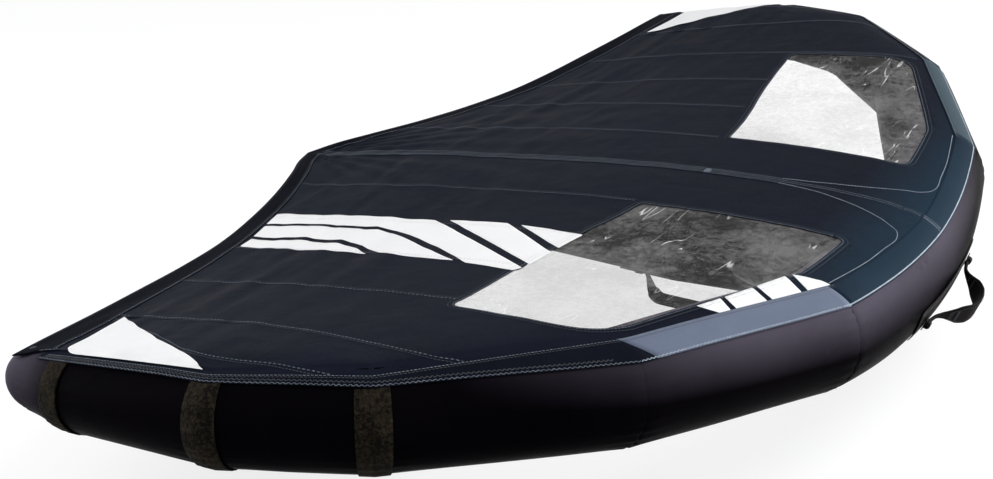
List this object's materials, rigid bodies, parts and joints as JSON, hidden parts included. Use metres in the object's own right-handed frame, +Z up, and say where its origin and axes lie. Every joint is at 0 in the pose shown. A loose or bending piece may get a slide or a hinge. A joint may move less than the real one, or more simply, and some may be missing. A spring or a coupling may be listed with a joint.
{
  "type": "wingfoil wing",
  "caption": "Inflatable hand-held wing with a segmented leading edge tube, a centre strut, a dark canopy with clear windows, scuff bands and webbing handles.",
  "frame": {"origin": "on the plane the wing stands on, under the middle of its box", "axes": "+Z up, +X along the span to the wing's right tip seen from behind, -Y to the nose"},
  "size_m": [2.3744, 1.4426, 0.3551],
  "materials": {
    "sleeve": "black satin woven polyester",
    "canopy": "dark navy ripstop",
    "load_band": "blue-grey satin woven polyester",
    "hem": "black woven tape",
    "film": "clear glossy film",
    "bladder": "pale translucent film",
    "scuff": "brown-black textured",
    "webbing": "black webbing",
    "grip": "black padded cover",
    "plastic": "black satin",
    "hose": "dark grey satin",
    "silicone": "grey matt"
  },
  "bodies": {
    "wing": {"canopy_centre_left": "canopy", "canopy_centre_right": "canopy", "canopy_front_strip_left": "canopy", "canopy_front_strip_right": "canopy", "canopy_middle_left": "canopy", "canopy_middle_right": "canopy", "canopy_outer_left": "canopy", "canopy_outer_right": "canopy", "canopy_tip_left": "canopy", "canopy_tip_right": "canopy", "connecting_hose": "hose", "front_handle_keeper_left": "webbing", "front_handle_keeper_right": "webbing", "front_handle_patch": "webbing", "hose_clip": "plastic", "hose_collar_strut": "plastic", "hose_collar_tube": "plastic", "leading_edge_bend_left": "sleeve", "leading_edge_bend_right": "sleeve", "leading_edge_bladder": "bladder", "leading_edge_centre": "sleeve", "leading_edge_end_left": "sleeve", "leading_edge_end_right": "sleeve", "leading_edge_mid_left": "sleeve", "leading_edge_mid_right": "sleeve", "leading_edge_outer_left": "sleeve", "leading_edge_outer_right": "sleeve", "load_band_left": "load_band", "load_band_right": "load_band", "scuff_band_1_left": "scuff", "scuff_band_1_right": "scuff", "scuff_band_2_left": "scuff", "scuff_band_2_right": "scuff", "scuff_band_3_left": "scuff", "scuff_band_3_right": "scuff", "strut_bladder": "bladder", "strut_handle_front_keeper_a": "webbing", "strut_handle_front_keeper_b": "webbing", "strut_handle_front_patch": "webbing", "strut_handle_rear_keeper_a": "webbing", "strut_handle_rear_keeper_b": "webbing", "strut_handle_rear_patch": "webbing", "strut_sleeve": "sleeve", "strut_tail_cap": "hem", "strut_web": "canopy", "tip_cone_left": "sleeve", "tip_cone_right": "sleeve", "trailing_band_left": "hem", "trailing_band_right": "hem", "valve_body": "plastic", "window_left": "film", "window_right": "film", "zip_tape": "webbing"},
    "front_handle": {"front_handle": "webbing"},
    "strut_handle_front": {"strut_handle_front": "grip"},
    "strut_handle_rear": {"strut_handle_rear": "grip"},
    "valve_cap": {"valve_cap": "plastic"},
    "valve_plunger": {"valve_plunger": "silicone"},
    "hose_clip_lever": {"hose_clip_lever": "plastic"},
    "zip_slider": {"zip_slider": "plastic"}
  },
  "joints": [
    {"name": "front_handle_swing", "type": "hinge", "parent": "wing", "child": "front_handle", "pos_m": [0, -0.6657, 0.15055], "axis": [1, 0, 0], "range_deg": [-70, 70], "stiffness_Nm_per_rad": 0.05},
    {"name": "strut_handle_front_swing", "type": "hinge", "parent": "wing", "child": "strut_handle_front", "pos_m": [0, -0.32936, 0.06808], "axis": [0, 0.9992, -0.0403], "range_deg": [-75, 75], "stiffness_Nm_per_rad": 0.05},
    {"name": "strut_handle_rear_swing", "type": "hinge", "parent": "wing", "child": "strut_handle_rear", "pos_m": [0, 0.14664, 0.05989], "axis": [0, 0.9997, 0.0246], "range_deg": [-80, 80], "stiffness_Nm_per_rad": 0.05},
    {"name": "valve_cap_hinge", "type": "hinge", "parent": "wing", "child": "valve_cap", "pos_m": [0.20924, -0.48513, 0.10196], "axis": [-0.9946, -0.0771, -0.0697], "range_deg": [0, 100]},
    {"name": "valve_plunger_slide", "type": "slide", "parent": "wing", "child": "valve_plunger", "axis": [0.0181, -0.789, 0.6142], "range_m": [0, 0.0035], "stiffness_N_per_m": 60},
    {"name": "hose_clip_hinge", "type": "hinge", "parent": "wing", "child": "hose_clip_lever", "pos_m": [-0.11615, -0.37461, 0.15228], "axis": [-0.1053, 0.9835, 0.1471], "range_deg": [-15, 68]},
    {"name": "zip_slide", "type": "slide", "parent": "wing", "child": "zip_slider", "axis": [0.9207, 0.3659, 0.1359], "range_m": [0, 0.242]}
  ]
}
